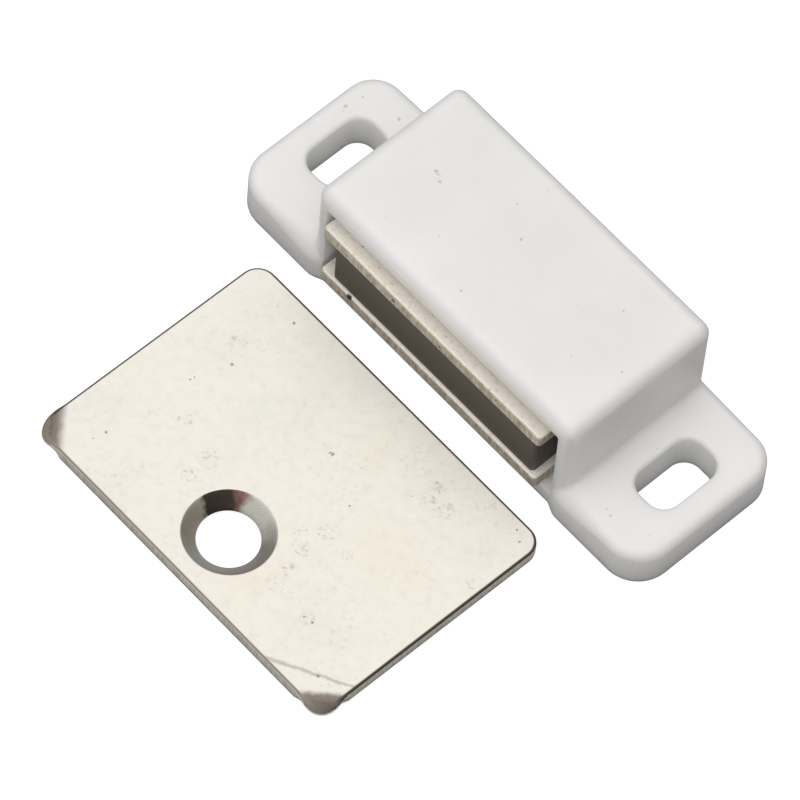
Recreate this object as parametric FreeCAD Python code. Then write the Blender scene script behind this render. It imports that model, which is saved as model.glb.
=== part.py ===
import FreeCAD, Part
import math
import os

# Magnetic catch: a moulded housing with a magnet between two pole plates, and its strike plate.
# Millimetres, +Z up. The origin is the centre of the housing's base, which lies on Z = 0.
# X runs along the housing and Y across it; the mouth, where the pole plates show, faces -Y.

V = FreeCAD.Vector
UP = V(0, 0, 1)

# Housing: a block with an ear at each end
BLOCK_LENGTH = 29.5
EAR_REACH = 9.05          # how far each ear stands out from the block
DEPTH = 15.76             # ears, front to back
FRONT_SETBACK = 0.49      # the block's front face lies this far behind the ears' front faces
EAR_THICKNESS = 4.05
EAR_FRONT_CORNER_R = 3.2  # in plan
EAR_BACK_CORNER_R = 2.8
EAR_TAPER_DEG = 1.7       # the back edges run in towards the ends
TAPER_INSIDE = 1.5        # and start to do so this far inside the block's end
EAR_FRONT_ROUND = 1.9     # the rounding of the ear's top edge shrinks from front to back
EAR_BACK_ROUND = 0.9
SWELL_INSIDE = 2.0        # the ear's front starts to swell out this far inside the block's end
SWELL_LENGTH = 1.9        # and is full after this length
BLOCK_CORNER_R = 1.0
BLOCK_TOP_ROUND = 1.2
CREASE_R = 0.4            # hollow rounding where an ear meets the block

# Slots for the fixing screws, one in the middle of each ear
SLOT_WIDTH = 4.1
SLOT_LENGTH = 6.75
SLOT_SHIFT = 0.38         # towards the back
SLOT_CORNER_R = 1.6
SLOT_RIM_R = 0.4

# Pocket for the magnet and its plates
FLOOR = 1.5
LID = 1.85
END_WALL = 1.33
BACK_WALL = 1.5
POCKET_CORNER_R = 0.25    # small enough for the plates to lie flat in the corners
RIB_WIDTH = 1.6           # an upright rib on each end wall holds the plates' notched ends
RIB_REACH = 1.7
RIB_NOSE_R = 0.5
RIB_TO_BACK = 1.8         # from the rib to the pocket's back

# Pole plates and magnet, lying loose in the pocket and pushed towards its left end
PLATE_THICKNESS = 1.25
PLATE_LEFT_PLAY = 0.27
PLATE_RIGHT_PLAY = 1.37
PLATE_BACK_PLAY = 0.4
PLATE_TOP_PLAY = 1.55
PLATE_PROUD = 0.09        # the pole faces stand this far ahead of the ears' front faces
PLATE_CORNER_R = 0.45
PLATE_EDGE_R = 0.25       # the punch leaves the top edge round and the bottom edge sharp
NOTCH_PLAY = 0.3          # notch wider than the rib, on each side
NOTCH_END_PLAY = 0.1      # notch deeper than the rib's reach
MAGNET_THICKNESS = 5.25
MAGNET_LEFT_SHORT = 1.15  # the magnet stops short of the plates' ends
MAGNET_RIGHT_SHORT = 0.6
MAGNET_FRONT_SETBACK = 0.3
MAGNET_TO_RIB = 0.6
MAGNET_CHAMFER = 0.25

# Strike plate
STRIKE_LENGTH = 33.64
STRIKE_WIDTH = 23.7
STRIKE_THICKNESS = 1.25
STRIKE_CORNER_R = 1.7     # the two back corners
STRIKE_EDGE_R = 0.3
STRIKE_GAP = 2.48         # from the pole faces to the strike plate's back edge
STRIKE_SHIFT = -0.62
PRONG_LEG = 3.06          # a fold cuts this much off each side of a front corner
PRONG_ANGLE_DEG = 42.0
PRONG_BEND_R = 0.6        # inside the fold
PRONG_TIP_R = 1.5
HOLE_D = 5.15
HOLE_FROM_FRONT = 5.34
HOLE_SHIFT = 0.17
SEAT_D = 7.6              # the countersink, at the top face
HOLE_LAND = 0.2           # height of the straight hole under the countersink

# Places that follow from the sizes above
BLOCK_X = BLOCK_LENGTH / 2
END_X = BLOCK_X + EAR_REACH
BACK_Y = DEPTH / 2
EAR_FRONT_Y = -DEPTH / 2
FRONT_Y = EAR_FRONT_Y + FRONT_SETBACK
SLOT_X = BLOCK_X + EAR_REACH / 2
POCKET_X = BLOCK_X - END_WALL
POCKET_BACK_Y = BACK_Y - BACK_WALL
MAGNET_BASE = FLOOR + PLATE_THICKNESS
UPPER_PLATE_BASE = MAGNET_BASE + MAGNET_THICKNESS
POCKET_TOP = UPPER_PLATE_BASE + PLATE_THICKNESS + PLATE_TOP_PLAY
HEIGHT = POCKET_TOP + LID
RIB_Y = POCKET_BACK_Y - RIB_TO_BACK - RIB_WIDTH / 2
PLATE_X0 = PLATE_LEFT_PLAY - POCKET_X
PLATE_X1 = POCKET_X - PLATE_RIGHT_PLAY
POLE_Y = EAR_FRONT_Y - PLATE_PROUD
PLATE_BACK_Y = POCKET_BACK_Y - PLATE_BACK_PLAY

INSET = 0.05              # a joined form reaches this far into its neighbour
REACH = 3.0               # a cutting form runs this far past the face that it cuts
TOLERANCE = 1e-4          # points closer than this lie in one place
SAMPLES = 5               # points looked at along an edge
BEND_SECTIONS = 5         # sheet sections that a prong's bend passes through
ROOT2 = math.sqrt(2)


def box(x0, x1, y0, y1, z0, z1):
    return Part.makeBox(x1 - x0, y1 - y0, z1 - z0, V(x0, y0, z0))


def near(a, b):
    return abs(a - b) < TOLERANCE


def is_upright(edge):
    a, b = edge.Vertexes[0].Point, edge.Vertexes[-1].Point
    return near(a.x, b.x) and near(a.y, b.y)


def edges_where(shape, test):
    """The edges of which every sampled point passes the test."""
    edges = [e for e in shape.Edges if not e.Degenerated]
    return [e for e in edges if all(test(p) for p in e.discretize(SAMPLES))]


def prism(points, z0, z1):
    """An upright solid over a plan of straight sides."""
    plan = Part.makePolygon([V(x, y, z0) for x, y in points + points[:1]])
    return Part.Face(plan).extrude(UP * (z1 - z0))


def mirrored(shape):
    return shape.mirror(V(0, 0, 0), V(1, 0, 0))


def block():
    """The raised middle of the housing, still solid."""
    body = box(-BLOCK_X, BLOCK_X, FRONT_Y, BACK_Y, 0, HEIGHT)
    body = body.makeFillet(BLOCK_CORNER_R, [e for e in body.Edges if is_upright(e)])
    top = edges_where(body, lambda p: near(p.z, HEIGHT))
    return body.makeFillet(BLOCK_TOP_ROUND, top)


def right_ear():
    """The ear at +X: its front swells out of the block's, and its top edge is softly rounded."""
    back_end_y = BACK_Y - (EAR_REACH + TAPER_INSIDE) * math.tan(math.radians(EAR_TAPER_DEG))
    swell_start = V(BLOCK_X - SWELL_INSIDE, FRONT_Y + INSET, 0)
    swell_end = V(BLOCK_X - SWELL_INSIDE + SWELL_LENGTH, EAR_FRONT_Y, 0)
    swell = Part.BSplineCurve()
    swell.interpolate([swell_start, swell_end], InitialTangent=V(1, 0, 0), FinalTangent=V(1, 0, 0))
    corners = [
        swell_end,
        V(END_X, EAR_FRONT_Y, 0),
        V(END_X, back_end_y, 0),
        V(BLOCK_X - TAPER_INSIDE, BACK_Y, 0),
        swell_start,
    ]
    sides = [Part.LineSegment(a, b).toShape() for a, b in zip(corners, corners[1:])]
    ear = Part.Face(Part.Wire([swell.toShape()] + sides)).extrude(UP * EAR_THICKNESS)
    for radius, y in ((EAR_FRONT_CORNER_R, EAR_FRONT_Y), (EAR_BACK_CORNER_R, back_end_y)):
        corner = [e for e in ear.Edges if is_upright(e)
                  and near(e.Vertexes[0].X, END_X) and near(e.Vertexes[0].Y, y)]
        ear = ear.makeFillet(radius, corner)
    front_top = edges_where(ear, lambda p: near(p.z, EAR_THICKNESS) and near(p.y, EAR_FRONT_Y))
    return ear.makeFillet(EAR_FRONT_ROUND, EAR_BACK_ROUND, front_top)


def slot_cutter():
    """The right slot, through the middle of the ear."""
    half_width, half_length = SLOT_WIDTH / 2, SLOT_LENGTH / 2
    slot = box(SLOT_X - half_width, SLOT_X + half_width, SLOT_SHIFT - half_length, SLOT_SHIFT + half_length,
               -REACH, EAR_THICKNESS + REACH)
    return slot.makeFillet(SLOT_CORNER_R, [e for e in slot.Edges if is_upright(e)])


def pocket_cutter():
    """The mouth and the space behind it, less the rib on each end wall."""
    space = box(-POCKET_X, POCKET_X, FRONT_Y - REACH, POCKET_BACK_Y, FLOOR, POCKET_TOP)
    lengthwise = edges_where(space, lambda p: near(abs(p.x), POCKET_X) and
                             (near(p.z, FLOOR) or near(p.z, POCKET_TOP)))
    space = space.makeFillet(min(POCKET_CORNER_R, PLATE_LEFT_PLAY, PLATE_RIGHT_PLAY), lengthwise)
    for side in (-1, 1):
        tip, root = side * (POCKET_X - RIB_REACH), side * (POCKET_X + INSET)
        rib = box(min(tip, root), max(tip, root), RIB_Y - RIB_WIDTH / 2, RIB_Y + RIB_WIDTH / 2,
                  FLOOR - INSET, POCKET_TOP + INSET)
        nose = [e for e in rib.Edges if is_upright(e) and near(e.Vertexes[0].X, tip)]
        space = space.cut(rib.makeFillet(RIB_NOSE_R, nose))
    return space


def housing():
    """The moulded body: block and ears in one, hollowed from the mouth and slotted."""
    ear = right_ear()
    body = block().fuse([ear, mirrored(ear)]).removeSplitter()
    creases = edges_where(body, lambda p: near(abs(p.x), BLOCK_X) and near(p.z, EAR_THICKNESS))
    body = body.makeFillet(CREASE_R, creases)
    slot = slot_cutter()
    body = body.cut([pocket_cutter(), slot, mirrored(slot)])
    rims = edges_where(body, lambda p: near(p.z, EAR_THICKNESS)
                       and abs(abs(p.x) - SLOT_X) < SLOT_WIDTH / 2 + TOLERANCE
                       and abs(p.y - SLOT_SHIFT) < SLOT_LENGTH / 2 + TOLERANCE)
    return body.makeFillet(SLOT_RIM_R, rims)


def pole_plate(base_z):
    """A flat plate with rounded front corners and a notch in each end for the housing's rib."""
    top_z = base_z + PLATE_THICKNESS
    plate = box(PLATE_X0, PLATE_X1, POLE_Y, PLATE_BACK_Y, base_z, top_z)
    front = [e for e in plate.Edges if is_upright(e) and near(e.Vertexes[0].Y, POLE_Y)]
    plate = plate.makeFillet(PLATE_CORNER_R, front)
    rims = edges_where(plate, lambda p: near(p.z, top_z) and p.y < POLE_Y + PLATE_CORNER_R + TOLERANCE)
    plate = plate.makeFillet(PLATE_EDGE_R, rims)
    notch_depth = RIB_REACH + NOTCH_END_PLAY
    half_notch = RIB_WIDTH / 2 + NOTCH_PLAY
    for x0, x1 in ((PLATE_X0 - REACH, PLATE_X0 + notch_depth), (PLATE_X1 - notch_depth, PLATE_X1 + REACH)):
        notch = box(x0, x1, RIB_Y - half_notch, RIB_Y + half_notch, base_z - REACH, top_z + REACH)
        plate = plate.cut(notch)
    return plate


def magnet():
    """A plain ferrite bar, set a little behind the pole faces and short of the ribs."""
    back_y = RIB_Y - RIB_WIDTH / 2 - MAGNET_TO_RIB
    bar = box(PLATE_X0 + MAGNET_LEFT_SHORT, PLATE_X1 - MAGNET_RIGHT_SHORT,
              POLE_Y + MAGNET_FRONT_SETBACK, back_y, MAGNET_BASE, UPPER_PLATE_BASE)
    return bar.makeChamfer(MAGNET_CHAMFER, [e for e in bar.Edges if is_upright(e)])


# Places on a prong. Out runs away from the fold, along runs beside it, and up is measured from
# the flat plate's underside. Sheet is the distance from the fold, measured along the bent sheet.
PRONG_BEND = math.radians(PRONG_ANGLE_DEG)
PRONG_ROOT = PRONG_LEG / ROOT2
BENT_SHEET = (PRONG_BEND_R + STRIKE_THICKNESS / 2) * PRONG_BEND
PRONG_TIP = PRONG_ROOT - PRONG_TIP_R * (ROOT2 - 1)


def bend_point(angle, height, along):
    """A point of the bend: height is measured from the sheet's underside."""
    radius = PRONG_BEND_R + height
    return V(radius * math.sin(angle), along, radius * math.cos(angle) - PRONG_BEND_R)


def bend_section(angle):
    """The sheet cut across the bend; its two top edges carry the plate's edge rounding."""
    half = PRONG_ROOT - BENT_SHEET * angle / PRONG_BEND
    shoulder = STRIKE_THICKNESS - STRIKE_EDGE_R
    flat = half - STRIKE_EDGE_R * ROOT2
    edges = [Part.LineSegment(bend_point(angle, 0, -half), bend_point(angle, 0, half)).toShape()]
    for side in (1, -1):
        edges.append(Part.LineSegment(bend_point(angle, 0, side * half),
                                      bend_point(angle, shoulder, side * half)).toShape())
        oval = Part.Ellipse(bend_point(angle, shoulder, side * half),
                            bend_point(angle, STRIKE_THICKNESS, side * flat),
                            bend_point(angle, shoulder, side * flat))
        edges.append(Part.ArcOfEllipse(oval, 0, math.pi / 2).toShape())
    edges.append(Part.LineSegment(bend_point(angle, STRIKE_THICKNESS, flat),
                                  bend_point(angle, STRIKE_THICKNESS, -flat)).toShape())
    return Part.Wire(Part.__sortEdges__(edges))


def flap():
    """The flat end of a prong, modelled level with its root at the origin, then turned down."""
    root = PRONG_ROOT - BENT_SHEET
    wide = root + REACH
    solid = prism([(-2 * REACH, -wide), (-REACH, -wide), (root, 0), (-REACH, wide), (-2 * REACH, wide)],
                  0, STRIKE_THICKNESS)
    tip = [e for e in solid.Edges if is_upright(e) and near(e.Vertexes[0].X, root)]
    solid = solid.makeFillet(PRONG_TIP_R, tip)
    rims = edges_where(solid, lambda p: near(p.z, STRIKE_THICKNESS) and p.x > -REACH - TOLERANCE)
    solid = solid.makeFillet(STRIKE_EDGE_R, rims)
    solid = solid.common(box(0, root, -wide, wide, 0, STRIKE_THICKNESS))
    solid.rotate(V(0, 0, 0), V(0, 1, 0), PRONG_ANGLE_DEG)
    solid.translate(bend_point(PRONG_BEND, 0, 0))
    return solid


def prong(side):
    """The bend and the flap of one prong, in place on the level plate."""
    angles = [PRONG_BEND * i / (BEND_SECTIONS - 1) for i in range(BEND_SECTIONS)]
    pieces = [Part.makeLoft([bend_section(angle) for angle in angles], True), flap()]
    for piece in pieces:
        piece.rotate(V(0, 0, 0), UP, -90 + side * 45)
        piece.translate(V(side * (STRIKE_LENGTH - PRONG_LEG) / 2, PRONG_LEG / 2 - STRIKE_WIDTH, 0))
    return pieces


def strike_tilt_deg():
    """The strike plate lies on its back edge and on the tips of its prongs."""
    run = PRONG_TIP - BENT_SHEET
    tip = bend_point(PRONG_BEND, 0, 0) + V(run * math.cos(PRONG_BEND), 0, -run * math.sin(PRONG_BEND))
    tip_y = STRIKE_WIDTH - PRONG_LEG / 2 + tip.x / ROOT2
    return math.degrees(math.atan(-tip.z / tip_y))


def strike_sheet():
    """The flat of the strike plate, cut off straight at the two folds."""
    x, t = STRIKE_LENGTH / 2, STRIKE_THICKNESS
    fold_y = PRONG_LEG - STRIKE_WIDTH
    sheet = prism([(-x, 0), (-x, fold_y), (PRONG_LEG - x, -STRIKE_WIDTH),
                   (x - PRONG_LEG, -STRIKE_WIDTH), (x, fold_y), (x, 0)], 0, t)
    back = [e for e in sheet.Edges if is_upright(e) and near(e.Vertexes[0].Y, 0)]
    sheet = sheet.makeFillet(STRIKE_CORNER_R, back)
    fold_x, fold_y = x - PRONG_LEG / 2, PRONG_LEG / 2 - STRIKE_WIDTH
    rims = [e for e in edges_where(sheet, lambda p: near(p.z, t))
            if not (near(abs(e.CenterOfMass.x), fold_x) and near(e.CenterOfMass.y, fold_y))]
    return sheet.makeFillet(STRIKE_EDGE_R, rims)


def strike_plate():
    """Stamped sheet: front corners folded down as prongs, one countersunk hole near the front."""
    sheet = strike_sheet()
    for piece in prong(-1) + prong(1):
        sheet = sheet.fuse(piece)
    place = V(HOLE_SHIFT, HOLE_FROM_FRONT - STRIKE_WIDTH, 0)
    hole = Part.makeCylinder(HOLE_D / 2, STRIKE_THICKNESS + 2 * REACH, place - UP * REACH)
    seat = Part.makeCone(HOLE_D / 2, SEAT_D / 2, STRIKE_THICKNESS - HOLE_LAND, place + UP * HOLE_LAND)
    sheet = sheet.removeSplitter().cut([hole, seat])
    sheet.rotate(V(0, 0, 0), V(1, 0, 0), -strike_tilt_deg())
    sheet.translate(V(STRIKE_SHIFT, POLE_Y - STRIKE_GAP, 0))
    return sheet


PIECES = {
    "housing": housing,
    "upper_pole_plate": lambda: pole_plate(UPPER_PLATE_BASE),
    "lower_pole_plate": lambda: pole_plate(FLOOR),
    "magnet": magnet,
    "strike_plate": strike_plate,
}

os.makedirs("parts", exist_ok=True)
for name, make in PIECES.items():
    piece = make()
    if len(piece.Solids) != 1 or not piece.isValid():
        raise ValueError(name + " is not one sound solid")
    piece.Solids[0].exportStep("parts/" + name + ".step")
    print(name, "%.1f mm3" % piece.Volume, piece.optimalBoundingBox(False))
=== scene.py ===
import math

import bmesh
import bpy
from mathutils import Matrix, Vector


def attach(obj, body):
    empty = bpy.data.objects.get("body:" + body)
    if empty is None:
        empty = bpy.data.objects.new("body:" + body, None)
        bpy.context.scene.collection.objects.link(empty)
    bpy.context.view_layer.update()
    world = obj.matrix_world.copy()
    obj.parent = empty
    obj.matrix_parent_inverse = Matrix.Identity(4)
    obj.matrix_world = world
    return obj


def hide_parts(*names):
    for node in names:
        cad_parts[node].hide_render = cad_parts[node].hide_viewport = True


# Magnetic catch: a white moulded housing, a ferrite magnet between two pole plates, and a strike
# plate. The CAD frame gives every shape, size and place. This script breaks the sharp edges, gives
# the pieces their surfaces and lights them. The picture has nearly 13 pixels to the millimetre.

MM = 0.001
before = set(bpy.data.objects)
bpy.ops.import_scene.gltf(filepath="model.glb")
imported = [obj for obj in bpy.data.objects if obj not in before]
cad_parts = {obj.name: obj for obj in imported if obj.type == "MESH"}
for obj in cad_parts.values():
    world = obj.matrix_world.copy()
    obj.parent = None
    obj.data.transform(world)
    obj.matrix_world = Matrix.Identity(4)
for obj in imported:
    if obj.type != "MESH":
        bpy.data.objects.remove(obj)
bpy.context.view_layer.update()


# Nodes and colours

# A Mix node has sockets for each kind of value, and these are the places of the colour ones.
FACTOR, COLOUR_A, COLOUR_B, MIXED = 0, 6, 7, 2


def srgb(code):
    """A hex colour as linear red, green, blue and alpha."""
    parts = [int(code[i:i + 2], 16) / 255 for i in (1, 3, 5)]
    return [p / 12.92 if p <= 0.04045 else ((p + 0.055) / 1.055) ** 2.4 for p in parts] + [1.0]


def per_mm(size):
    """The scale of a pattern on Object coordinates, in metres, with features size mm across."""
    return 1 / (size * MM)


def add(tree, kind, inputs=None, stops=None, **settings):
    """A node with its settings, its inputs' values or links, and its colour ramp's stops."""
    made = tree.nodes.new(kind)
    for name, value in settings.items():
        setattr(made, name, value)
    for key, value in (inputs or {}).items():
        if isinstance(value, bpy.types.NodeSocket):
            tree.links.new(value, made.inputs[key])
        else:
            made.inputs[key].default_value = value
    if stops:
        ramp = made.color_ramp.elements
        while len(ramp) < len(stops):
            ramp.new(1.0)
        for element, (position, colour) in zip(ramp, stops):
            element.position = position
            element.color = srgb(colour)
    return made


def new_material(name):
    """An empty material and its node tree."""
    made = bpy.data.materials.new(name)
    made.use_nodes = True
    made.node_tree.nodes.clear()
    return made, made.node_tree


def shaken(tree, place, size, reach):
    """The place pushed about by up to half of reach mm, in swirls size mm across."""
    swirl = add(tree, "ShaderNodeTexNoise", {"Vector": place, "Scale": per_mm(size), "Detail": 2.0})
    push = add(tree, "ShaderNodeVectorMath", {0: swirl.outputs["Color"], 1: (0.5, 0.5, 0.5)},
               operation="SUBTRACT")
    push = add(tree, "ShaderNodeVectorMath", {0: push.outputs[0], "Scale": reach * MM},
               operation="SCALE")
    return add(tree, "ShaderNodeVectorMath", {0: place, 1: push.outputs[0]},
               operation="ADD").outputs[0]


def marks(tree, place, spots):
    """1 inside any of the spots, each a centre and a radius in mm, and 0 outside them all."""
    ragged = shaken(tree, place, 0.25, 0.3)    # so that no spot is a perfect disc
    edge_out, edge_in = 1.3, 0.7    # a spot's edge is soft between these shares of its radius
    total = 0.0
    for x, y, z, radius in spots:
        away = add(tree, "ShaderNodeVectorMath", {0: ragged, 1: (x * MM, y * MM, z * MM)},
                   operation="DISTANCE").outputs["Value"]
        inside = add(tree, "ShaderNodeMapRange",
                     {"Value": away, "From Min": edge_out * radius * MM,
                      "From Max": edge_in * radius * MM}).outputs[0]
        total = add(tree, "ShaderNodeMath", {0: total, 1: inside}, operation="MAXIMUM").outputs[0]
    return total


def stain_mask(tree, place, patch_mm, patch, crumb, strength):
    """Crumbs of stain that gather in patches; patch and crumb are the noise where each starts."""
    soft = 0.12    # how much more noise it takes from the first trace to the full stain
    cloud = add(tree, "ShaderNodeTexNoise", {"Vector": place, "Scale": per_mm(patch_mm),
                                             "Detail": 2.0})
    patches = add(tree, "ShaderNodeMapRange", {"Value": cloud.outputs["Fac"], "From Min": patch,
                                               "From Max": patch + soft})
    dots = add(tree, "ShaderNodeTexNoise", {"Vector": place, "Scale": per_mm(0.45), "Detail": 4.0,
                                            "Roughness": 0.7})
    crumbs = add(tree, "ShaderNodeMapRange", {"Value": dots.outputs["Fac"], "From Min": crumb,
                                              "From Max": crumb + soft, "To Max": strength})
    return add(tree, "ShaderNodeMath", {0: patches.outputs[0], 1: crumbs.outputs[0]},
               operation="MULTIPLY").outputs[0]


def levelness(tree, low, high):
    """1 where the surface lies level, 0 where it stands upright, and smooth round an edge."""
    normal = add(tree, "ShaderNodeNewGeometry").outputs["Normal"]
    up = add(tree, "ShaderNodeSeparateXYZ", {"Vector": normal}).outputs["Z"]
    level = add(tree, "ShaderNodeMath", {0: up}, operation="ABSOLUTE").outputs[0]
    return add(tree, "ShaderNodeMapRange", {"Value": level, "From Min": low, "From Max": high},
               interpolation_type="SMOOTHSTEP").outputs[0]


def torn_steel(tree, place, dark, middle, light):
    """The colours and the bump of a punched edge, dragged up and down by the punch."""
    stretch = 0.25    # the marks are four times as long as they are wide
    drawn = add(tree, "ShaderNodeMapping", {"Vector": place, "Scale": (1.0, 1.0, stretch)})
    # Real drag marks are a few hundredths of a mm wide. These are as coarse as they need to show.
    drag = add(tree, "ShaderNodeTexNoise", {"Vector": drawn.outputs[0], "Scale": per_mm(0.3),
                                            "Detail": 4.0, "Roughness": 0.7})
    metal = add(tree, "ShaderNodeValToRGB", {"Fac": drag.outputs["Fac"]},
                stops=[(0.3, dark), (0.5, middle), (0.72, light)])
    bump = add(tree, "ShaderNodeBump", {"Strength": 0.5, "Distance": 0.04 * MM,
                                        "Height": drag.outputs["Fac"]})
    return metal.outputs["Color"], bump.outputs["Normal"]


# The housing

# Dark specks in the plastic: x, y, z and radius in mm.
SPECKS = [
    (-9.76, 0.73, 12.65, 0.16), (-9.45, 0.62, 12.65, 0.12), (-8.82, 0.30, 12.65, 0.13),
    (-3.41, 3.55, 12.65, 0.10), (-0.87, 1.64, 12.65, 0.12), (-0.46, -5.08, 12.65, 0.12),
    (13.01, -0.45, 12.65, 0.11), (9.39, -2.50, 12.65, 0.08), (-22.40, 3.08, 4.05, 0.17),
    (-18.74, 5.50, 4.05, 0.13), (-22.14, 4.68, 4.05, 0.10), (-21.13, -1.30, 3.60, 0.14),
    (18.71, -6.17, 4.00, 0.12), (22.98, -3.64, 3.90, 0.10), (22.52, -7.15, 3.10, 0.11),
]
SPECK_STRENGTH = 0.42    # how far a speck goes from the white to its own grey


def dust(tree, place):
    """Faint flecks of dust moulded in: nearly a third of the 1.3 mm cells hold one."""
    cells = add(tree, "ShaderNodeTexVoronoi", {"Vector": place, "Scale": per_mm(1.3)})
    fleck = add(tree, "ShaderNodeMapRange", {"Value": cells.outputs["Distance"], "From Min": 0.09,
                                             "From Max": 0.04, "To Max": 0.8})
    chance = add(tree, "ShaderNodeSeparateColor", {"Color": cells.outputs["Color"]})
    some = add(tree, "ShaderNodeMapRange", {"Value": chance.outputs["Red"], "From Min": 0.7,
                                            "From Max": 1.0, "To Max": 0.5})
    return add(tree, "ShaderNodeMath", {0: fleck.outputs[0], 1: some.outputs[0]},
               operation="MULTIPLY").outputs[0]


def moulded_abs():
    """ABS, injection moulded and glossy white: a soft wide highlight, faint ripple, dark specks."""
    made, tree = new_material("moulded_white_abs")
    place = add(tree, "ShaderNodeTexCoord").outputs["Object"]
    cloud = add(tree, "ShaderNodeTexNoise", {"Vector": place, "Scale": per_mm(7.0), "Detail": 3.0})
    white = add(tree, "ShaderNodeValToRGB", {"Fac": cloud.outputs["Fac"]},
                stops=[(0.35, "#e8e8e8"), (0.65, "#ececec")])
    dark = add(tree, "ShaderNodeMath", {0: marks(tree, place, SPECKS), 1: SPECK_STRENGTH},
               operation="MULTIPLY").outputs[0]
    spots = add(tree, "ShaderNodeMath", {0: dust(tree, place), 1: dark},
                operation="MAXIMUM").outputs[0]
    colour = add(tree, "ShaderNodeMix", {FACTOR: spots, COLOUR_A: white.outputs["Color"],
                                         COLOUR_B: srgb("#8d8985")},
                 data_type="RGBA").outputs[MIXED]
    # The skin's real grain is under 0.05 mm. This one is as coarse as it needs to show.
    grain = add(tree, "ShaderNodeTexNoise", {"Vector": place, "Scale": per_mm(0.35), "Detail": 2.0})
    fine = add(tree, "ShaderNodeBump", {"Strength": 0.12, "Distance": 0.02 * MM,
                                        "Height": grain.outputs["Fac"]})
    ripple = add(tree, "ShaderNodeTexNoise", {"Vector": place, "Scale": per_mm(5.0), "Detail": 1.0})
    wide = add(tree, "ShaderNodeBump", {"Strength": 0.5, "Distance": 0.06 * MM,
                                        "Height": ripple.outputs["Fac"],
                                        "Normal": fine.outputs["Normal"]})
    rough = add(tree, "ShaderNodeMapRange", {"Value": grain.outputs["Fac"],
                                             "To Min": 0.3, "To Max": 0.42})
    skin = add(tree, "ShaderNodeBsdfPrincipled",
               {"Base Color": colour, "Roughness": rough.outputs[0], "IOR": 1.53,
                "Subsurface Weight": 0.8, "Subsurface Radius": (1.0, 1.0, 0.97),
                "Subsurface Scale": 2.6 * MM, "Normal": wide.outputs["Normal"]})
    add(tree, "ShaderNodeOutputMaterial", {"Surface": skin.outputs[0]})
    return made


# The pole plates and the magnet

# Chips out of the plates' front edges: x, y, z and radius in mm.
POLE_CHIPS = [
    (-9.66, -7.97, 2.59, 0.26), (-4.83, -7.97, 8.57, 0.16), (0.57, -7.97, 8.48, 0.12),
    (7.08, -7.97, 8.77, 0.13), (-10.36, -7.97, 8.40, 0.10),
]


def tumbled_nickel():
    """Nickel on tumbled steel: matt cream peppered with brown, grey-brown down its punched edge."""
    made, tree = new_material("tumbled_nickel_steel")
    place = add(tree, "ShaderNodeTexCoord").outputs["Object"]
    mottle = add(tree, "ShaderNodeTexNoise", {"Vector": place, "Scale": per_mm(0.35),
                                              "Detail": 6.0, "Roughness": 0.75})
    cream = add(tree, "ShaderNodeValToRGB", {"Fac": mottle.outputs["Fac"]},
                stops=[(0.3, "#dccdb8"), (0.44, "#faf2e6"), (0.7, "#fffbf4")])
    edge, torn = torn_steel(tree, place, "#958a7b", "#c2b7a6", "#e6dccb")
    colour = add(tree, "ShaderNodeMix", {FACTOR: levelness(tree, 0.2, 0.8), COLOUR_A: edge,
                                         COLOUR_B: cream.outputs["Color"]},
                 data_type="RGBA").outputs[MIXED]
    pits = stain_mask(tree, place, 1.5, 0.4, 0.6, 0.75)
    colour = add(tree, "ShaderNodeMix", {FACTOR: pits, COLOUR_A: colour,
                                         COLOUR_B: srgb("#4f4234")},
                 data_type="RGBA").outputs[MIXED]
    chips = marks(tree, place, POLE_CHIPS)
    colour = add(tree, "ShaderNodeMix", {FACTOR: chips, COLOUR_A: colour,
                                         COLOUR_B: srgb("#2a211a")},
                 data_type="RGBA").outputs[MIXED]
    skin = add(tree, "ShaderNodeBsdfPrincipled",
               {"Base Color": colour, "Metallic": 0.15, "Roughness": 0.5, "Normal": torn})
    add(tree, "ShaderNodeOutputMaterial", {"Surface": skin.outputs[0]})
    return made


def sintered_ferrite():
    """Strontium ferrite, pressed and sintered: dull brown-black ceramic with a fine dry grain."""
    made, tree = new_material("sintered_ferrite")
    place = add(tree, "ShaderNodeTexCoord").outputs["Object"]
    # Real ferrite grains are thousandths of a mm. These are as coarse as they need to show.
    grain = add(tree, "ShaderNodeTexNoise", {"Vector": place, "Scale": per_mm(0.25), "Detail": 4.0,
                                             "Roughness": 0.7})
    dark = add(tree, "ShaderNodeValToRGB", {"Fac": grain.outputs["Fac"]},
               stops=[(0.3, "#281e15"), (0.7, "#49392a")])
    bump = add(tree, "ShaderNodeBump", {"Strength": 0.5, "Distance": 0.04 * MM,
                                        "Height": grain.outputs["Fac"]})
    skin = add(tree, "ShaderNodeBsdfPrincipled",
               {"Base Color": dark.outputs["Color"], "Roughness": 0.55, "IOR": 1.9,
                "Normal": bump.outputs["Normal"]})
    add(tree, "ShaderNodeOutputMaterial", {"Surface": skin.outputs[0]})
    return made


# The strike plate, with its sizes and places in mm

STRIKE_MIDDLE = (-0.62, -22.3, 0)
STRIKE_HALF_X = 16.82
STRIKE_HALF_Y = 11.85
STRIKE_CORNER_R = 1.7
STRIKE_TILT = math.radians(1.468)    # the prongs hold its front up
STRIKE_BACK_Y = -10.45    # where its back edge stands on the table
FOOT_LOW, FOOT_HIGH = 0.12, 0.38    # its edge is painted dark up to here, torn and in painted shade, and clean from here up
RIM_WIDTH, RIM_FADE = 0.18, 0.28    # its top is painted dark as shade this near the outline, and clean beyond this
LIT_FRONT_FULL, LIT_FRONT_FADE = 0.3, 0.5    # how near the front the rim is painted bright as a highlight
HOLE = Vector((-0.45, -28.8, 0.6))    # the middle of the countersunk hole
SEAT_R = 3.9    # just outside the countersink's 3.8 mm
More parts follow.
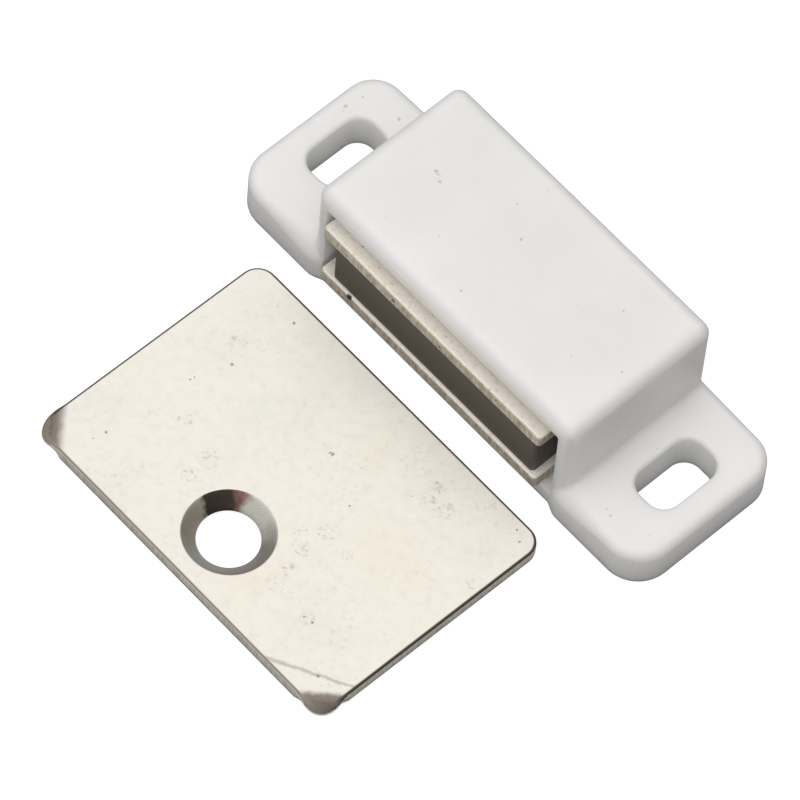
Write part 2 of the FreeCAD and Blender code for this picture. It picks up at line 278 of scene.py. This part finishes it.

# The front corners are folded down as prongs. "out" is the level way out across the fold, "fold"
# the fold's distance that way from the origin and "before" how far inside it the painted shade
# starts.
# "middle" is the prong's middle along the fold, and "ends" are its painted shades at either end.
DIAGONAL = math.sqrt(0.5)
FOLDS = [
    {"out": (-DIAGONAL, -DIAGONAL, 0), "fold": 34.3, "before": 0.5, "middle": 12.25,
     "ends": ("#8a8175", "#9a9286")},
    {"out": (DIAGONAL, -DIAGONAL, 0), "fold": 33.4, "before": 0.1, "middle": -12.25,
     "ends": ("#91897b", "#473e34")},
]

FOLD_SHADE_FULL = 0.5    # the painted fold shade is full this far past the fold
PRONG_START, PRONG_FULL = 0.6, 1.1    # and gives way to the prong's painted shades from here to here
PRONG_FIRST, PRONG_LAST = -1.6, 1.2    # where, from its middle, each end's own painted shade starts
FOLD_WAVER = 0.35    # how far a fold or the pressed line strays to either side

# A crease line behind the right fold, painted thin and brown as shade: the level way across it, and
# its distance that way.
PRESSED_WAY = (0.48, -0.877, 0)
PRESSED_LINE = 34.42
PRESSED_CORE, PRESSED_FADE = 0.05, 0.22    # how near the line it is full, and where it ends

# Small dark marks: x, y, z and radius.
STRIKE_MARKS = [
    (-0.46, -17.90, 1.44, 0.15), (-0.69, -17.97, 1.44, 0.10), (-13.37, -30.21, 1.76, 0.13),
    (-13.60, -31.35, 1.79, 0.08), (-11.28, -12.29, 1.30, 0.12), (-11.61, -18.59, 1.46, 0.13),
    (-12.71, -22.03, 1.55, 0.09), (-12.69, -21.60, 1.54, 0.08), (3.87, -19.99, 1.49, 0.09),
    (6.34, -15.67, 1.38, 0.09), (13.91, -11.38, 1.27, 0.09), (14.84, -11.94, 1.29, 0.10),
    (8.93, -29.28, 1.73, 0.09), (9.71, -29.11, 1.73, 0.10), (13.48, -31.94, 1.80, 0.14),
]

# Patches of handling stain: x, y, z and radius.
STRIKE_STAINS = [
    (-6.4, -25.6, 1.64, 0.9), (-6.3, -27.8, 1.69, 0.6), (-12.9, -16.5, 1.4, 0.8),
    (5.1, -27.4, 1.69, 0.7), (5.4, -28.9, 1.72, 0.9), (4.2, -25.5, 1.63, 0.8),
    (3.0, -24.4, 1.61, 0.6), (4.5, -23.0, 1.58, 0.9), (7.0, -23.1, 1.58, 0.5),
    (7.7, -14.9, 1.36, 0.8), (7.1, -13.6, 1.33, 0.7), (8.9, -14.5, 1.35, 0.8),
    (9.2, -29.2, 1.73, 0.6), (15.2, -17.2, 1.43, 0.7), (-10.2, -24.8, 1.6, 0.7),
]


def handled_nickel(tree, place, mottle):
    """The sheet's own colour: warm white plating with pinkish handling stains and dark marks."""
    nickel = add(tree, "ShaderNodeValToRGB", {"Fac": mottle},
                 stops=[(0.25, "#e9e5db"), (0.45, "#f2efe6"), (0.7, "#f6f3eb")])
    cloud = add(tree, "ShaderNodeTexNoise", {"Vector": place, "Scale": per_mm(8.0), "Detail": 2.0})
    tint = add(tree, "ShaderNodeValToRGB", {"Fac": cloud.outputs["Fac"]},
               stops=[(0.3, "#fafbfc"), (0.5, "#ffffff"), (0.7, "#fffcf8")])
    colour = add(tree, "ShaderNodeMix", {FACTOR: 1.0, COLOUR_A: nickel.outputs["Color"],
                                         COLOUR_B: tint.outputs["Color"]},
                 data_type="RGBA", blend_type="MULTIPLY").outputs[MIXED]
    slight = stain_mask(tree, place, 5.0, 0.5, 0.56, 0.25)
    dots = add(tree, "ShaderNodeTexNoise", {"Vector": place, "Scale": per_mm(0.4), "Detail": 4.0,
                                            "Roughness": 0.75})
    dots = add(tree, "ShaderNodeMapRange", {"Value": dots.outputs["Fac"], "From Min": 0.5,
                                            "From Max": 0.66, "To Max": 0.6})
    rubbed = add(tree, "ShaderNodeMath", {0: marks(tree, place, STRIKE_STAINS),
                                          1: dots.outputs[0]}, operation="MULTIPLY")
    pink = add(tree, "ShaderNodeMath", {0: slight, 1: rubbed.outputs[0]}, operation="MAXIMUM")
    colour = add(tree, "ShaderNodeMix", {FACTOR: pink.outputs[0], COLOUR_A: colour,
                                         COLOUR_B: srgb("#b09080")},
                 data_type="RGBA").outputs[MIXED]
    grey = add(tree, "ShaderNodeMath", {0: marks(tree, place, STRIKE_MARKS), 1: 0.7},
               operation="MULTIPLY").outputs[0]
    return add(tree, "ShaderNodeMix", {FACTOR: grey, COLOUR_A: colour, COLOUR_B: srgb("#6d645b")},
               data_type="RGBA").outputs[MIXED]


def painted_fold_shade(tree, place, waver, colour):
    """The colour with painted shade on its folds, where the prongs are, and their painted shades.
    """
    prongs, prong_shade = 0.0, srgb("#8c8377")
    for corner in FOLDS:
        out, fold, middle = corner["out"], corner["fold"], corner["middle"]
        far = add(tree, "ShaderNodeVectorMath", {0: place, 1: out}, operation="DOT_PRODUCT")
        far = add(tree, "ShaderNodeMath", {0: far.outputs["Value"], 1: waver}, operation="ADD")
        # Painted shade: a dark brown band across each fold, where the bent sheet turns from the
        # light.
        brown = add(tree, "ShaderNodeMapRange",
                    {"Value": far.outputs[0], "From Min": (fold - corner["before"]) * MM,
                     "From Max": (fold + FOLD_SHADE_FULL) * MM, "To Max": 0.85},
                    interpolation_type="SMOOTHSTEP")
        colour = add(tree, "ShaderNodeMix", {FACTOR: brown.outputs[0], COLOUR_A: colour,
                                             COLOUR_B: srgb("#5d4f43")},
                     data_type="RGBA").outputs[MIXED]
        bent = add(tree, "ShaderNodeMapRange",
                   {"Value": far.outputs[0], "From Min": (fold + PRONG_START) * MM,
                    "From Max": (fold + PRONG_FULL) * MM}).outputs[0]
        prongs = add(tree, "ShaderNodeMath", {0: prongs, 1: bent}, operation="MAXIMUM").outputs[0]
        along = add(tree, "ShaderNodeVectorMath", {0: place, 1: (-out[1], out[0], 0)},
                    operation="DOT_PRODUCT").outputs["Value"]
        across = add(tree, "ShaderNodeMapRange",
                     {"Value": along, "From Min": (middle + PRONG_FIRST) * MM,
                      "From Max": (middle + PRONG_LAST) * MM}).outputs[0]
        # Painted shade on the turned-down prong, lighter at one end and darker at the other.
        start, end = corner["ends"]
        shade = add(tree, "ShaderNodeMix", {FACTOR: across, COLOUR_A: srgb(start),
                                            COLOUR_B: srgb(end)},
                    data_type="RGBA").outputs[MIXED]
        prong_shade = add(tree, "ShaderNodeMix", {FACTOR: bent, COLOUR_A: prong_shade,
                                                   COLOUR_B: shade},
                           data_type="RGBA").outputs[MIXED]
    return colour, prongs, prong_shade


def painted_crease_line(tree, place, waver, colour):
    """The colour with a thin brown line of painted shade along a crease behind the right fold."""
    along = add(tree, "ShaderNodeVectorMath", {0: place, 1: PRESSED_WAY},
                operation="DOT_PRODUCT").outputs["Value"]
    off = add(tree, "ShaderNodeMath", {0: along, 1: PRESSED_LINE * MM}, operation="SUBTRACT")
    off = add(tree, "ShaderNodeMath", {0: off.outputs[0], 1: waver}, operation="ADD")
    off = add(tree, "ShaderNodeMath", {0: off.outputs[0]}, operation="ABSOLUTE")
    # Painted shade: a thin brown line along the crease.
    line = add(tree, "ShaderNodeMapRange",
               {"Value": off.outputs[0], "From Min": PRESSED_FADE * MM,
                "From Max": PRESSED_CORE * MM, "To Max": 0.45})
    return add(tree, "ShaderNodeMix", {FACTOR: line.outputs[0], COLOUR_A: colour,
                                       COLOUR_B: srgb("#8d6f5c")},
               data_type="RGBA").outputs[MIXED]


def painted_rim_shade(tree, place, prongs, colour):
    """The colour with painted shade along the rim and its rounded edges, and a painted highlight on
    the rim in front.
    """
    free = 50    # more than the plate is high, so that height counts for nothing
    core = Vector((STRIKE_HALF_X - STRIKE_CORNER_R, STRIKE_HALF_Y - STRIKE_CORNER_R, free)) * MM
    middle = add(tree, "ShaderNodeVectorMath", {0: place, 1: Vector(STRIKE_MIDDLE) * MM},
                 operation="SUBTRACT").outputs[0]
    past = add(tree, "ShaderNodeVectorMath", {0: middle}, operation="ABSOLUTE").outputs[0]
    past = add(tree, "ShaderNodeVectorMath", {0: past, 1: core}, operation="SUBTRACT").outputs[0]
    past = add(tree, "ShaderNodeVectorMath", {0: past, 1: (0, 0, 0)},
               operation="MAXIMUM").outputs[0]
    reach = add(tree, "ShaderNodeVectorMath", {0: past}, operation="LENGTH").outputs["Value"]
    # Painted shade: the top is dark along its outline and on its rounded edges.
    inner = add(tree, "ShaderNodeMapRange",
                {"Value": reach, "From Min": (STRIKE_CORNER_R - RIM_WIDTH) * MM,
                 "From Max": (STRIKE_CORNER_R - RIM_FADE) * MM}).outputs[0]
    ahead = add(tree, "ShaderNodeSeparateXYZ", {"Vector": middle}).outputs["Y"]
    front = add(tree, "ShaderNodeMapRange",
                {"Value": ahead, "From Min": (LIT_FRONT_FADE - STRIKE_HALF_Y) * MM,
                 "From Max": (LIT_FRONT_FULL - STRIKE_HALF_Y) * MM}).outputs[0]
    # Painted highlight: the front rim is pale where it stands upright and greyer where it lies
    # level.
    front_highlight = add(tree, "ShaderNodeMix", {FACTOR: levelness(tree, 0.45, 0.75),
                                         COLOUR_A: srgb("#dad5c9"), COLOUR_B: srgb("#938b7c")},
                 data_type="RGBA").outputs[MIXED]
    rim = add(tree, "ShaderNodeMix", {FACTOR: front, COLOUR_A: srgb("#4a4036"), COLOUR_B: front_highlight},
              data_type="RGBA").outputs[MIXED]
    flat = add(tree, "ShaderNodeMath", {0: inner, 1: levelness(tree, 0.8, 0.97)},
               operation="MINIMUM").outputs[0]
    flat = add(tree, "ShaderNodeMath", {0: flat, 1: prongs}, operation="MAXIMUM").outputs[0]
    return add(tree, "ShaderNodeMix", {FACTOR: flat, COLOUR_A: rim, COLOUR_B: colour},
               data_type="RGBA").outputs[MIXED]


def satin_skin(tree, place, colour):
    """A satin plated surface: uneven gloss, fine pores and a slow wave."""
    mottle = add(tree, "ShaderNodeTexNoise", {"Vector": place, "Scale": per_mm(1.2), "Detail": 5.0})
    rough = add(tree, "ShaderNodeMapRange", {"Value": mottle.outputs["Fac"],
                                             "To Min": 0.36, "To Max": 0.48})
    # Real pores in plating are under 0.05 mm. These are as coarse as they need to show.
    pores = add(tree, "ShaderNodeTexNoise", {"Vector": place, "Scale": per_mm(0.2), "Detail": 3.0})
    bump = add(tree, "ShaderNodeBump", {"Strength": 0.15, "Distance": 0.02 * MM,
                                        "Height": pores.outputs["Fac"]})
    swell = add(tree, "ShaderNodeTexNoise", {"Vector": place, "Scale": per_mm(6.0), "Detail": 1.0})
    wave = add(tree, "ShaderNodeBump", {"Strength": 0.3, "Distance": 0.03 * MM,
                                        "Height": swell.outputs["Fac"],
                                        "Normal": bump.outputs["Normal"]})
    skin = add(tree, "ShaderNodeBsdfPrincipled",
               {"Base Color": colour, "Metallic": 0.14, "Roughness": rough.outputs[0],
                "Normal": wave.outputs["Normal"]})
    add(tree, "ShaderNodeOutputMaterial", {"Surface": skin.outputs[0]})


def plated_strike():
    """Nickel on cold-rolled sheet, satin: warm white with pinkish stains, and painted shade at its
    folds.
    """
    made, tree = new_material("nickel_plated_strike_steel")
    place = add(tree, "ShaderNodeTexCoord").outputs["Object"]
    mottle = add(tree, "ShaderNodeTexNoise", {"Vector": place, "Scale": per_mm(0.8), "Detail": 6.0,
                                              "Roughness": 0.7}).outputs["Fac"]
    colour = handled_nickel(tree, place, mottle)
    waver = add(tree, "ShaderNodeMapRange", {"Value": mottle, "To Min": -FOLD_WAVER * MM,
                                             "To Max": FOLD_WAVER * MM}).outputs[0]
    # Painted shade on the folds and on the prongs.
    colour, prongs, prong_shade = painted_fold_shade(tree, place, waver, colour)
    # Painted shade along the crease behind the right fold.
    colour = painted_crease_line(tree, place, waver, colour)
    colour = add(tree, "ShaderNodeMix", {FACTOR: prongs, COLOUR_A: colour,
                                         COLOUR_B: prong_shade},
                 data_type="RGBA").outputs[MIXED]
    # The rim gets painted shade and, in front, a painted highlight.
    satin_skin(tree, place, painted_rim_shade(tree, place, prongs, colour))
    return made


def sheared_edge():
    """The punched edge of nickel-plated sheet: burnished bright, and dark along its foot, partly
    torn and partly painted shade.
    """
    made, tree = new_material("sheared_nickel_edge")
    place = add(tree, "ShaderNodeTexCoord").outputs["Object"]
    metal, torn = torn_steel(tree, place, "#bcb7ac", "#dedad0", "#f4f1ea")
    height = add(tree, "ShaderNodeVectorMath",
                 {0: place, 1: (0, math.sin(STRIKE_TILT), math.cos(STRIKE_TILT))},
                 operation="DOT_PRODUCT").outputs["Value"]
    foot = STRIKE_BACK_Y * math.sin(STRIKE_TILT)
    # Partly painted shade: the edge darkens near its foot, where it turns down from the light, and
    # where it is torn.
    clean = add(tree, "ShaderNodeMapRange",
                {"Value": height, "From Min": (foot + FOOT_LOW) * MM,
                 "From Max": (foot + FOOT_HIGH) * MM}).outputs[0]
    colour = add(tree, "ShaderNodeMix", {FACTOR: clean, COLOUR_A: srgb("#5c5245"),
                                         COLOUR_B: metal},
                 data_type="RGBA").outputs[MIXED]
    skin = add(tree, "ShaderNodeBsdfPrincipled",
               {"Base Color": colour, "Metallic": 0.25, "Roughness": 0.45, "Normal": torn})
    add(tree, "ShaderNodeOutputMaterial", {"Surface": skin.outputs[0]})
    return made


def turned_steel():
    """The countersink, turned after plating: bare steel in rings, with painted reflections of pale
    sectors and a dark one edged reddish brown.
    """
    made, tree = new_material("turned_steel_countersink")
    place = add(tree, "ShaderNodeTexCoord").outputs["Object"]
    about = add(tree, "ShaderNodeMapping", {"Vector": place, "Location": -HOLE * MM}).outputs[0]
    # Real tool marks are about 0.05 mm apart. These are as coarse as they need to show.
    one_ring = math.tau / 20    # a wave texture of this scale has one ring in each unit
    rings = add(tree, "ShaderNodeTexWave", {"Vector": about, "Scale": one_ring * per_mm(0.13),
                                            "Distortion": 4.0, "Detail": 3.0, "Detail Scale": 1.5},
                wave_type="RINGS", rings_direction="Z")
    turn = add(tree, "ShaderNodeTexGradient", {"Vector": shaken(tree, about, 1.0, 2.0)},
               gradient_type="RADIAL")
    # Painted reflection: pale and dark sectors round the cone, the dark one standing for the dim
    # low side mirrored there.
    steel = add(tree, "ShaderNodeValToRGB", {"Fac": turn.outputs["Fac"]},
                stops=[(0.0, "#bfb7aa"), (0.13, "#c0b8ad"), (0.24, "#e0e3e2"), (0.4, "#c4c0b8"),
                       (0.58, "#c8c4bb"), (0.7, "#f0f2ea"), (0.79, "#dcdcd4"), (0.83, "#97766e"),
                       (0.87, "#443b33"), (0.97, "#433c34"), (1.0, "#bfb7aa")])
    metal = add(tree, "ShaderNodeMix", {FACTOR: rings.outputs["Fac"],
                                        COLOUR_A: steel.outputs["Color"],
                                        COLOUR_B: srgb("#7b7771")},
                data_type="RGBA", blend_type="MULTIPLY")
    colour = add(tree, "ShaderNodeMix", {FACTOR: 0.35, COLOUR_A: steel.outputs["Color"],
                                         COLOUR_B: metal.outputs[MIXED]},
                 data_type="RGBA").outputs[MIXED]
    bump = add(tree, "ShaderNodeBump", {"Strength": 0.25, "Distance": 0.01 * MM,
                                        "Height": rings.outputs["Fac"]})
    skin = add(tree, "ShaderNodeBsdfPrincipled",
               {"Base Color": colour, "Metallic": 0.7, "Roughness": 0.34,
                "Normal": bump.outputs["Normal"]})
    add(tree, "ShaderNodeOutputMaterial", {"Surface": skin.outputs[0]})
    return made


# Pieces

WELD = 0.0005 * MM    # triangles share a corner when their points are this close
FLAT_ANGLE = math.radians(0.4)    # triangles that meet at less than this are one flat face
SHARP_ANGLE = math.radians(38)    # an edge that turns by more than this is broken
LEVEL = 0.97    # a face whose normal rises by this much or more is flat sheet
UPRIGHT = 0.4    # and one whose normal rises by less than this stands up


def joined_surface(node):
    """The CAD surface of a node with its triangles joined and each flat face made whole."""
    shape = bmesh.new()
    shape.from_mesh(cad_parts[node].data)
    bmesh.ops.remove_doubles(shape, verts=shape.verts, dist=WELD)
    bmesh.ops.dissolve_limit(shape, angle_limit=FLAT_ANGLE, verts=shape.verts, edges=shape.edges)
    bmesh.ops.recalc_face_normals(shape, faces=shape.faces)
    return shape


def finished(node, name, edge, materials, pick=None):
    """Stands for a CAD node: the same form, sharp edges broken by edge mm and rounds smooth."""
    mesh = bpy.data.meshes.new(name)
    for made in materials:
        mesh.materials.append(made)
    shape = joined_surface(node)
    shape.to_mesh(mesh)
    shape.free()
    mesh.shade_smooth()
    rough = bpy.data.objects.new(name + "_rough", mesh)
    bpy.context.scene.collection.objects.link(rough)
    bevel = rough.modifiers.new("broken_edges", "BEVEL")
    bevel.width = edge * MM
    bevel.segments = 3
    bevel.limit_method = "ANGLE"
    bevel.angle_limit = SHARP_ANGLE
    even = rough.modifiers.new("even_shading", "WEIGHTED_NORMAL")
    even.keep_sharp = True
    seen = rough.evaluated_get(bpy.context.evaluated_depsgraph_get())
    done = bpy.data.meshes.new_from_object(seen)
    if pick:
        for face in done.polygons:
            face.material_index = pick(face)
    bpy.data.objects.remove(rough)
    bpy.data.meshes.remove(mesh)
    done.name = name
    piece = bpy.data.objects.new(name, done)
    bpy.context.scene.collection.objects.link(piece)
    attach(piece, "root")
    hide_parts(node)


def strike_face(face):
    """The place of a strike face's material: 0 plated sheet, 1 sheared outline, 2 countersink."""
    height = abs(face.normal.z)
    if (face.center.xy - HOLE.xy * MM).length < SEAT_R * MM and height < LEVEL:
        return 2
    return int(height < UPRIGHT)


finished("housing", "moulded_housing", 0.12, [moulded_abs()])
pole_nickel = tumbled_nickel()
for plate in ("upper_pole_plate", "lower_pole_plate"):
    finished(plate, "punched_" + plate, 0.14, [pole_nickel])
finished("magnet", "ferrite_bar", 0.12, [sintered_ferrite()])
finished("strike_plate", "folded_strike_plate", 0.11,
         [plated_strike(), sheared_edge(), turned_steel()], strike_face)


# Studio, in metres

FLOOR_HALF = 4.0
FLOOR_DROP = 0.02 * MM    # keeps the table off the pieces' undersides
TABLE_GLOW = 0.84    # what brings the table to the photograph's white
BRIGHT_WAY = (-0.05, -0.08, 0.99)    # the way to the brightest part of the tent
AIM = (0, -0.01, 0)    # between the housing and the strike plate


def pale_floor():
    """A plain white table. Its glow is for the camera alone, so it lights nothing."""
    made, tree = new_material("white_table")
    sheet = add(tree, "ShaderNodeBsdfDiffuse", {"Color": srgb("#a4a4a4")})
    ray = add(tree, "ShaderNodeLightPath").outputs["Is Camera Ray"]
    lift = add(tree, "ShaderNodeMath", {0: ray, 1: TABLE_GLOW}, operation="MULTIPLY").outputs[0]
    glow = add(tree, "ShaderNodeEmission", {"Color": srgb("#ffffff"), "Strength": lift})
    skin = add(tree, "ShaderNodeAddShader", {0: sheet.outputs[0], 1: glow.outputs[0]})
    add(tree, "ShaderNodeOutputMaterial", {"Surface": skin.outputs[0]})
    mesh = bpy.data.meshes.new("table")
    corners = [(-1, -1), (1, -1), (1, 1), (-1, 1)]
    mesh.from_pydata([(x * FLOOR_HALF, y * FLOOR_HALF, 0) for x, y in corners], [], [(0, 1, 2, 3)])
    mesh.materials.append(made)
    table = bpy.data.objects.new("table", mesh)
    table.location.z = -FLOOR_DROP
    bpy.context.scene.collection.objects.link(table)


def tent_light():
    """A white tent, brightest overhead and dim low down, with a pale wall that the camera sees."""
    world = bpy.data.worlds.new("light_tent")
    world.use_nodes = True
    tree = world.node_tree
    tree.nodes.clear()
    way = add(tree, "ShaderNodeTexCoord").outputs["Generated"]
    lean = add(tree, "ShaderNodeVectorMath", {0: way, 1: BRIGHT_WAY},
               operation="DOT_PRODUCT").outputs["Value"]
    strength = add(tree, "ShaderNodeMapRange", {"Value": lean, "From Min": 0.15, "From Max": 0.92,
                                                "To Min": 0.06, "To Max": 1.05},
                   interpolation_type="SMOOTHSTEP").outputs[0]
    tent = add(tree, "ShaderNodeBackground", {"Color": srgb("#fffdfa"), "Strength": strength})
    wall = add(tree, "ShaderNodeBackground", {"Color": srgb("#f6f6f6"), "Strength": 1.0})
    ray = add(tree, "ShaderNodeLightPath").outputs["Is Camera Ray"]
    seen = add(tree, "ShaderNodeMixShader", {0: ray, 1: tent.outputs[0], 2: wall.outputs[0]})
    add(tree, "ShaderNodeOutputWorld", {"Surface": seen.outputs[0]})
    bpy.context.scene.world = world


def softbox(name, place, size, power):
    """A square lamp that lights the pieces without showing in the metal."""
    lamp = bpy.data.lights.new(name, "AREA")
    lamp.shape = "SQUARE"
    lamp.size = size
    lamp.energy = power
    made = bpy.data.objects.new(name, lamp)
    made.location = place
    made.rotation_euler = (Vector(AIM) - Vector(place)).to_track_quat("-Z", "Y").to_euler()
    made.visible_glossy = False
    bpy.context.scene.collection.objects.link(made)


def product_camera():
    """The photograph's camera, as it was fitted to the photograph's straight edges."""
    lens = bpy.data.cameras.new("product_lens")
    lens.lens = 356.95
    lens.sensor_width = 36.0
    lens.clip_start = 0.05
    lens.clip_end = 10.0
    camera = bpy.data.objects.new("product_camera", lens)
    camera.location = (0.206461, -0.233590, 0.547747)
    camera.rotation_euler = [math.radians(a) for a in (28.9964, -2.7754, 47.8764)]
    bpy.context.scene.collection.objects.link(camera)
    bpy.context.scene.camera = camera


pale_floor()
tent_light()
softbox("overhead", (0.03, -0.02, 0.62), 0.5, 0.7)
softbox("front_high", (0.0, -0.36, 0.60), 0.3, 0.65)
product_camera()
bpy.context.scene.view_settings.view_transform = "Standard"
